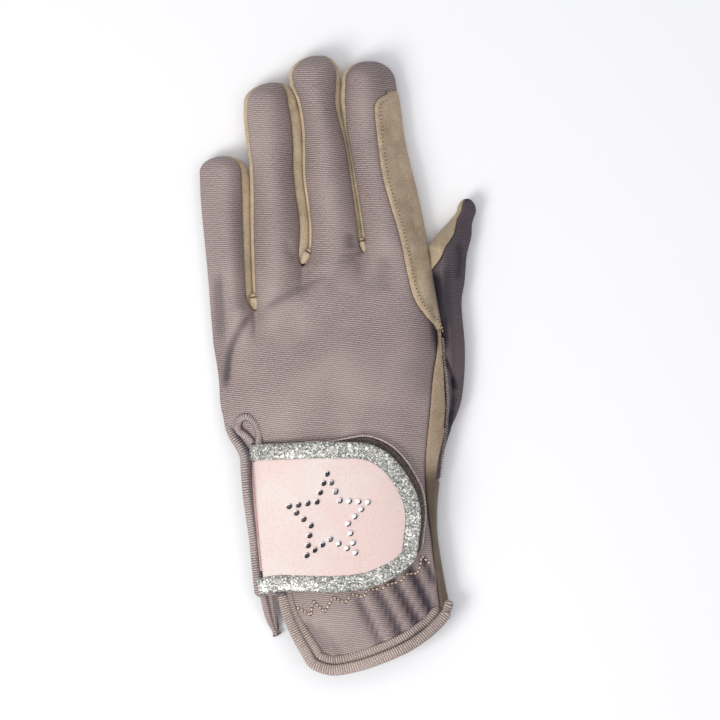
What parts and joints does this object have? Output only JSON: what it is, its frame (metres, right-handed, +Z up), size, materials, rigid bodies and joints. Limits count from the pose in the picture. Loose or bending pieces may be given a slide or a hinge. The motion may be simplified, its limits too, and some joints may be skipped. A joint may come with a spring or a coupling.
{
  "type": "child's left-hand horse riding glove",
  "caption": "Left riding glove lying palm down: ribbed lycra back, suede palm and gussets, wrist strap with glitter border and a stone star, gathered cuff",
  "frame": {"origin": "The middle of the glove's footprint, on the surface that it lies on.", "axes": "+X towards the thumb, +Y towards the fingertips, +Z up from the back of the hand."},
  "size_m": [0.0956, 0.2142, 0.0242],
  "materials": {
    "lycra": "ribbed stretch knit, soft sheen",
    "beige_suede": "fine mottled suede",
    "pink_suede": "pale pink nubuck",
    "glitter": "silver glitter on cloth, sparkling",
    "hook_backing": "dark hook-and-loop tape",
    "crystal": "clear faceted stone with a foil back"
  },
  "bodies": {
    "root": {"back_panel": "lycra", "thumb_back": "lycra", "cuff_binding": "lycra", "cuff_piping": "lycra", "side_binding": "lycra", "hanging_loop": "lycra", "hem_tail": "lycra", "palm_panel": "beige_suede", "fourchette_little_ring": "beige_suede", "fourchette_ring_middle": "beige_suede", "fourchette_middle_index": "beige_suede", "index_patch": "beige_suede", "thumb_inner": "beige_suede", "side_strip": "beige_suede", "strap_panel": "pink_suede", "strap_border": "glitter", "strap_backing": "hook_backing", "stone_01": "crystal", "stone_02": "crystal", "stone_03": "crystal", "stone_04": "crystal", "stone_05": "crystal", "stone_06": "crystal", "stone_07": "crystal", "stone_08": "crystal", "stone_09": "crystal", "stone_10": "crystal", "stone_11": "crystal", "stone_12": "crystal", "stone_13": "crystal", "stone_14": "crystal", "stone_15": "crystal", "stone_16": "crystal", "stone_17": "crystal", "stone_18": "crystal", "stone_19": "crystal", "stone_20": "crystal", "stone_21": "crystal", "stone_22": "crystal", "stone_23": "crystal", "stone_24": "crystal", "stone_25": "crystal", "stone_26": "crystal", "stone_27": "crystal", "stone_28": "crystal", "stone_29": "crystal", "stone_30": "crystal"}
  },
  "joints": []
}
